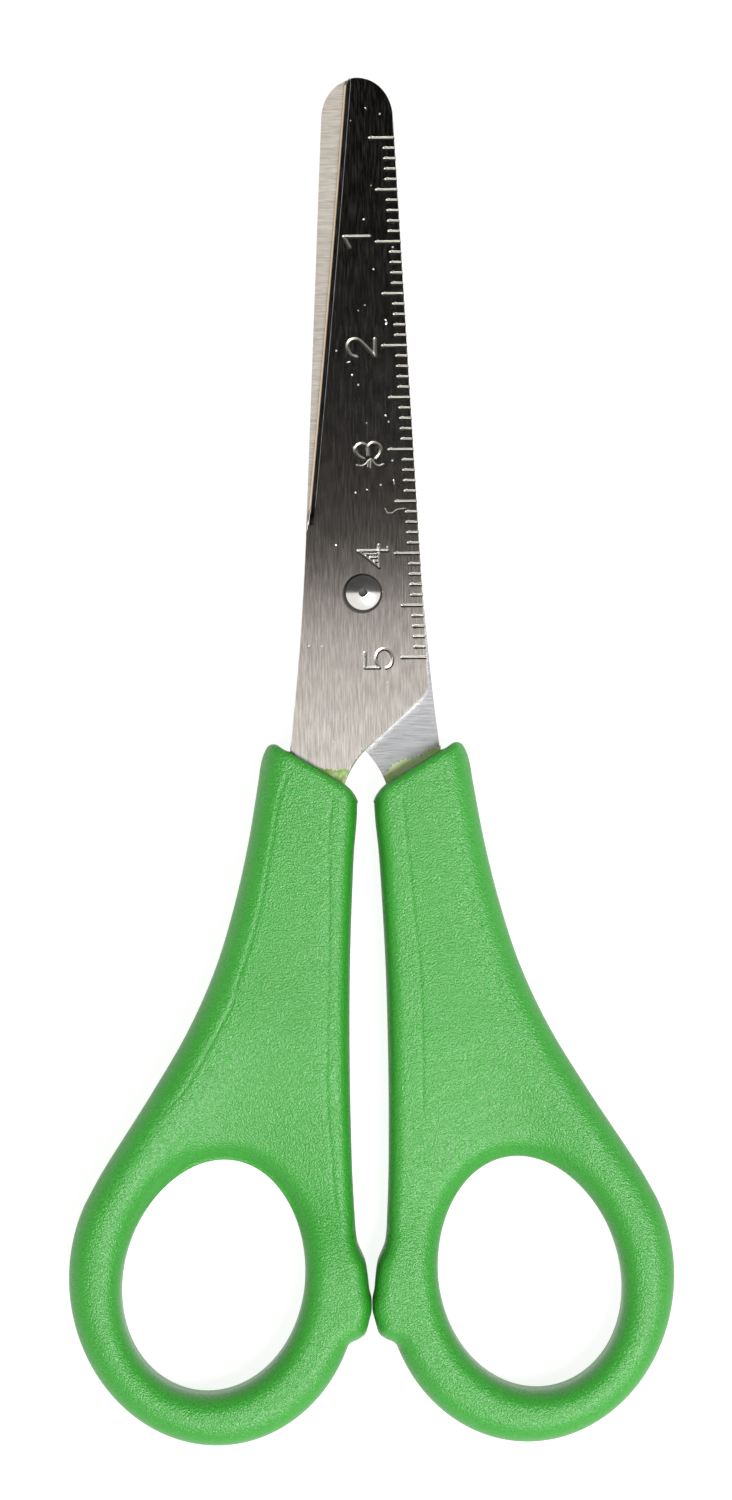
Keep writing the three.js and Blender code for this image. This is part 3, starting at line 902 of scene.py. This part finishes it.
def struck_material():
    """Stamped grooves: duller than the brushed steel, with painted shade in them: darker towards the tip,
    and near-black round the rivet.
    """
    material, n, shader, place = new_material("stamped_steel")
    marks = n.noise(place, 5000, detail=2)
    parts = n.add("ShaderNodeSeparateXYZ", {0: place}).outputs
    dull = n.mix(n.ramp(marks, 0.3, 0.7), (0.14, 0.138, 0.12, 1), (0.2, 0.196, 0.172, 1))
    # Painted shade: the grooves are painted darker towards the tip, where the steel mirrors the dark part of
    # the studio, and lighter near the handles.
    shade = n.mix(n.ramp(parts[1], 0.008, 0.022), (0.28, 0.273, 0.255, 1), dull)
    from_pivot = n.add("ShaderNodeVectorMath", {0: place, 1: PIVOT}, operation="DISTANCE").outputs["Value"]
    # Painted shade: the seat groove round the rivet is painted near-black and matte, as the shade in the gap
    # under the rivet's head.
    rivet_gap_painted_shade = n.ramp(from_pivot, 2.3 * MM, 2.7 * MM, 1, 0)
    n.feed(shader, "Base Color", n.mix(rivet_gap_painted_shade, shade, (0.03, 0.03, 0.028, 1)))
    n.feed(shader, "Metallic", n.ramp(rivet_gap_painted_shade, 0, 1, 1, 0.2))
    n.feed(shader, "Roughness", n.ramp(rivet_gap_painted_shade, 0, 1, 0.3, 0.7))
    return material


def polished_material():
    """The rivet: polished by the setting tool, with its dimple painted near-black as painted shade."""
    material, n, shader, place = new_material("polished_rivet")
    marks = n.noise(place, 1500, detail=4)
    parts = n.add("ShaderNodeSeparateXYZ", {0: place}).outputs
    flat = n.add("ShaderNodeCombineXYZ", {0: parts[0], 1: parts[1], 2: PIVOT.z}).outputs[0]
    from_axis = n.add("ShaderNodeVectorMath", {0: flat, 1: PIVOT}, operation="DISTANCE").outputs["Value"]
    # Painted shade: the dimple is painted near-black and rougher, to stand for the shade in its hollow.
    in_dimple = n.ramp(from_axis, 0.9 * DIMPLE_RADIUS * MM, DIMPLE_RADIUS * MM, 1, 0)
    colour = n.mix(in_dimple, (0.78, 0.77, 0.75, 1), (0.06, 0.06, 0.06, 1))
    n.feed(shader, "Base Color", colour)
    roughness = n.maths("ADD", n.ramp(marks, 0.3, 0.8, 0.14, 0.22), n.maths("MULTIPLY", in_dimple, 0.4))
    n.feed(shader, "Roughness", roughness)
    n.feed(shader, "Metallic", 0.95)
    return material


# ---------------------------------------------------------------- studio

FLOOR_HALF_WIDTH = 6
FLOOR_HEIGHT = -0.0001            # just clear of the handles' undersides


def floor():
    """A pale table that shows as plain white."""
    corners = [(x * FLOOR_HALF_WIDTH, y * FLOOR_HALF_WIDTH, FLOOR_HEIGHT)
               for x, y in ((-1, -1), (1, -1), (1, 1), (-1, 1))]
    mesh = bpy.data.meshes.new("table")
    mesh.from_pydata(corners, [], [(0, 1, 2, 3)])
    table = bpy.data.objects.new("table", mesh)
    bpy.context.scene.collection.objects.link(table)
    material, n, shader, place = new_material("pale_table")
    n.feed(shader, "Base Color", (0.25, 0.25, 0.25, 1))
    n.feed(shader, "Roughness", 0.9)
    n.feed(shader, "Emission Color", (1, 1, 1, 1))
    n.feed(shader, "Emission Strength", 0.9)
    mesh.materials.append(material)


# What flat steel mirrors upwards: dark beyond the tip, bright on the handles' side. Each
# stop is its share of the way from SKY_FAR to SKY_NEAR, its brightness and its warmth.
SKY_FAR = 0.09
SKY_NEAR = -0.01
SKY_STOPS = ((0.34, 0.014, 0), (0.5, 0.016, 0.1), (0.58, 0.015, 0.28), (0.62, 0.028, 0.2),
             (0.67, 0.42, 0.1), (0.71, 0.68, 0.06), (0.8, 0.72, 0.04), (0.9, 0.88, 0.03))
DARKEST = (0.004, 0.004, 0.0045, 1)
BRIGHTEST = (0.98, 0.96, 0.93, 1)
WALLS = (0.8, 0.79, 0.78, 1)      # the studio's walls, below a slope of about 30 degrees
WALLS_TOP = 0.5
WALLS_FULL = 0.35


def world():
    """Soft studio light from all round, in bands that the steel mirrors."""
    scene_world = bpy.data.worlds.new("studio")
    bpy.context.scene.world = scene_world
    scene_world.use_nodes = True
    n = Nodes(scene_world.node_tree)
    n.tree.nodes.clear()
    direction = n.add("ShaderNodeTexCoord").outputs["Generated"]
    parts = n.add("ShaderNodeSeparateXYZ", {0: direction}).outputs
    sky = n.add("ShaderNodeValToRGB", {0: n.ramp(parts[1], SKY_FAR, SKY_NEAR)})
    stops = sky.color_ramp.elements
    stops[0].color = DARKEST
    stops[1].color = BRIGHTEST
    for place, level, warmth in SKY_STOPS:
        stops.new(place).color = (level, level * (1 - 0.8 * warmth), level * (1 - warmth), 1)
    colour = n.mix(n.ramp(parts[2], WALLS_TOP, WALLS_FULL), sky.outputs[0], WALLS)
    background = n.add("ShaderNodeBackground", {"Color": colour, "Strength": 1.0})
    n.add("ShaderNodeOutputWorld", {"Surface": background.outputs[0]})


KEY_PLACE = (0.28, -0.28, 1.0)
KEY_SIZE = 0.4
KEY_POWER = 13


def area_light(name, place, target, size, power):
    lamp = bpy.data.lights.new(name, "AREA")
    lamp.shape = "DISK"
    lamp.size = size
    lamp.energy = power
    holder = bpy.data.objects.new(name, lamp)
    holder.location = place
    holder.rotation_euler = (Vector(target) - Vector(place)).to_track_quat("-Z", "Y").to_euler()
    holder.visible_camera = False
    bpy.context.scene.collection.objects.link(holder)


CAMERA_DISTANCE = 0.6             # from the plane where the two blades meet
FRAME_HEIGHT = 0.14465            # what the frame holds of that plane, from bottom to top
FRAME_MIDDLE = (0.00009, 0.00098)
CAMERA_LEAN = math.radians(0.72)


def camera():
    """A camera straight above, turned a little clockwise."""
    data = bpy.data.cameras.new("camera")
    data.sensor_width = 36
    data.lens = 36 * CAMERA_DISTANCE / FRAME_HEIGHT
    data.clip_start = 0.01
    holder = bpy.data.objects.new("camera", data)
    holder.location = (*FRAME_MIDDLE, CAMERA_DISTANCE + PIVOT.z)
    holder.rotation_euler = (0, 0, -CAMERA_LEAN)
    bpy.context.scene.collection.objects.link(holder)
    bpy.context.scene.camera = holder


# ---------------------------------------------------------------- the scissors

BRUSHED = dict(along="length", roughness=(0.115, 0.115), tip_colour=(0.72, 0.69, 0.64),
               tang_colour=(0.72, 0.69, 0.64), streak=0.26)
GROUND = dict(along="width", roughness=(0.27, 0.4), tip_colour=(0.69, 0.64, 0.57),
              tang_colour=(0.72, 0.73, 0.76), streak=0.2)
# Each half's film: its crest and foot, the height it lies at, and its thick and thin colours.
FILMS = {"front": (FRONT_FILM, FRONT_FILM_FOOT, BLADE_TOP, (0.2, 0.32, 0.08), (0.36, 0.46, 0.17)),
         # Painted light: the rear film's colours are far lighter than the front's, to make up for the
         # collar's shade that falls over it.
         "rear": (REAR_FILM, REAR_FILM_FOOT, BLADE_CLEARANCE - FILM_THICKNESS,
                  (0.68, 0.86, 0.36), (0.88, 0.98, 0.6))}


def add_half(half, blade_steels, plastic):
    """A blade, the handle on its tang, and the film of plastic between them."""
    body = half + "_half"
    steel = blade("detailed_" + half + "_blade", half, stamped=half == "front")
    for material in blade_steels:
        steel.data.materials.append(material)
    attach(steel, body)
    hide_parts(half + "_blade")
    grip = handle("detailed_" + half + "_handle", half)
    grip.data.materials.append(plastic)
    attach(grip, body)
    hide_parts(half + "_handle")
    crest, foot, low, thick_colour, thin_colour = FILMS[half]
    skin = film("flash_film_" + half, half, crest, foot, low)
    skin.data.materials.append(film_material("thin_plastic_" + half, thick_colour, thin_colour))
    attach(skin, body)


def add_rivet():
    pin = rivet("detailed_rivet")
    pin.data.materials.append(polished_material())
    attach(pin, "front_half")
    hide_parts("pivot_rivet")


# In the order of the blade's material slots.
steels = (steel_material("brushed_steel", **BRUSHED), steel_material("ground_steel", **GROUND),
          edge_straw_and_painted_shade_material(), struck_material(), blanked_material())
green = plastic_material()
for side in ("front", "rear"):
    add_half(side, steels, green)
add_rivet()
floor()
world()
area_light("key", KEY_PLACE, (0, 0, 0), KEY_SIZE, KEY_POWER)
camera()
bpy.context.scene.view_settings.view_transform = "Standard"
